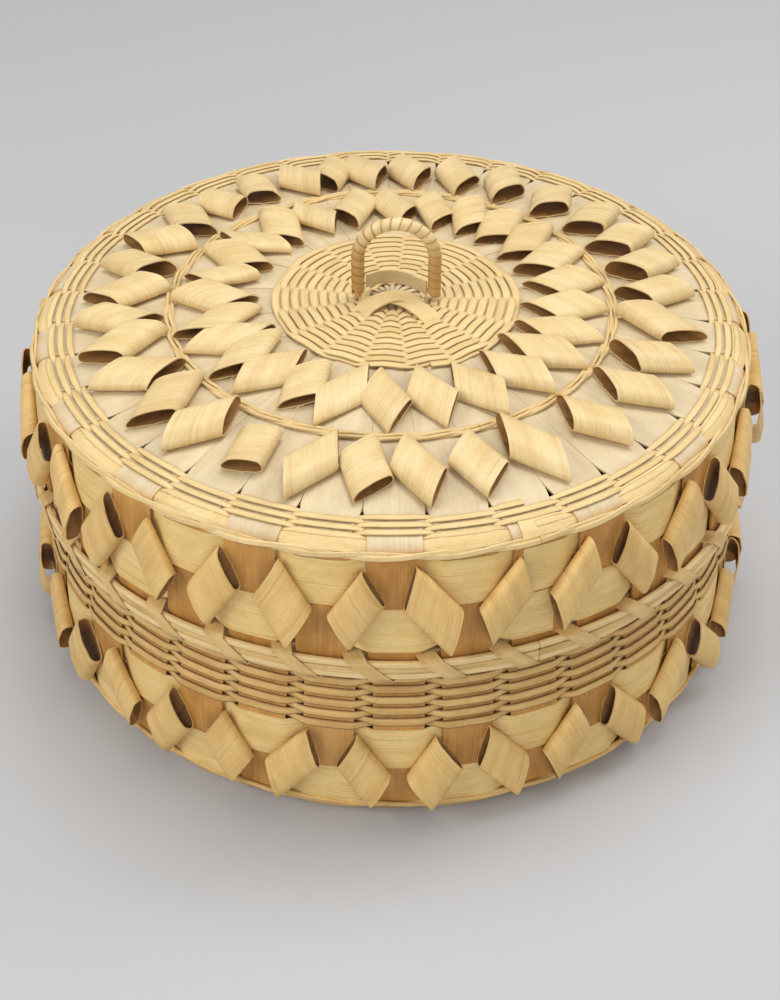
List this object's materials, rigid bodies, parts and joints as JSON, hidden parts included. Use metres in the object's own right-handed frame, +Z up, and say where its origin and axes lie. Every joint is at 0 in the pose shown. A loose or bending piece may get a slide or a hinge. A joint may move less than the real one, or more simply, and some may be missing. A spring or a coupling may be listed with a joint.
{
  "type": "basket",
  "caption": "Round lidded basket of black ash splints, with curled overlay splints in zigzag rows on its walls and lid, fine-woven bands, lashed hoop rims and a wrapped loop handle.",
  "frame": {"origin": "centre of the face the basket stands on, on its axis", "axes": "+Z up along the basket's axis, -Y towards the front, +X to the right seen from the front, the handle's arch stands in the XZ plane"},
  "size_m": [0.3037, 0.3045, 0.1778],
  "materials": {
    "cream_splint": "satin split ash",
    "pale_splint": "satin split ash",
    "tan_splint": "satin split ash",
    "brown_splint": "satin split ash"
  },
  "bodies": {
    "basket": {"base_splints_lower": "pale_splint", "base_splints_upper": "pale_splint", "base_floor_weave": "cream_splint", "base_floor_weaver_inner": "tan_splint", "base_floor_weaver_outer": "tan_splint", "base_wall_weaver_lower": "cream_splint", "base_wall_weaver_upper": "cream_splint", "base_wall_curls": "tan_splint", "base_foot_weaver": "cream_splint", "base_fine_weave_outer": "cream_splint", "base_fine_weave_inner": "cream_splint", "base_rim_hoop_outer": "cream_splint", "base_rim_hoop_inner": "cream_splint", "base_rim_lashing": "pale_splint"},
    "lid": {"lid_splints_lower": "pale_splint", "lid_splints_upper": "pale_splint", "lid_centre_weave": "cream_splint", "lid_shoulder_weave": "cream_splint", "lid_top_weaver": "tan_splint", "lid_divider_twine_inner": "cream_splint", "lid_divider_twine_outer": "cream_splint", "lid_outer_ring_curls": "tan_splint", "lid_inner_ring_curls": "tan_splint", "lid_wall_weaver_lower": "cream_splint", "lid_wall_weaver_upper": "cream_splint", "lid_wall_curls": "tan_splint", "lid_rim_hoop_outer": "cream_splint", "lid_rim_hoop_inner": "cream_splint", "lid_rim_lashing": "pale_splint", "handle_core": "tan_splint", "handle_wrapping": "brown_splint", "handle_cross_splint_left": "cream_splint", "handle_cross_splint_right": "cream_splint", "handle_strap": "pale_splint"}
  },
  "joints": [
    {"name": "lid_lift", "type": "slide", "parent": "basket", "child": "lid", "axis": [0, 0, 1], "range_m": [0, 0.15]}
  ]
}
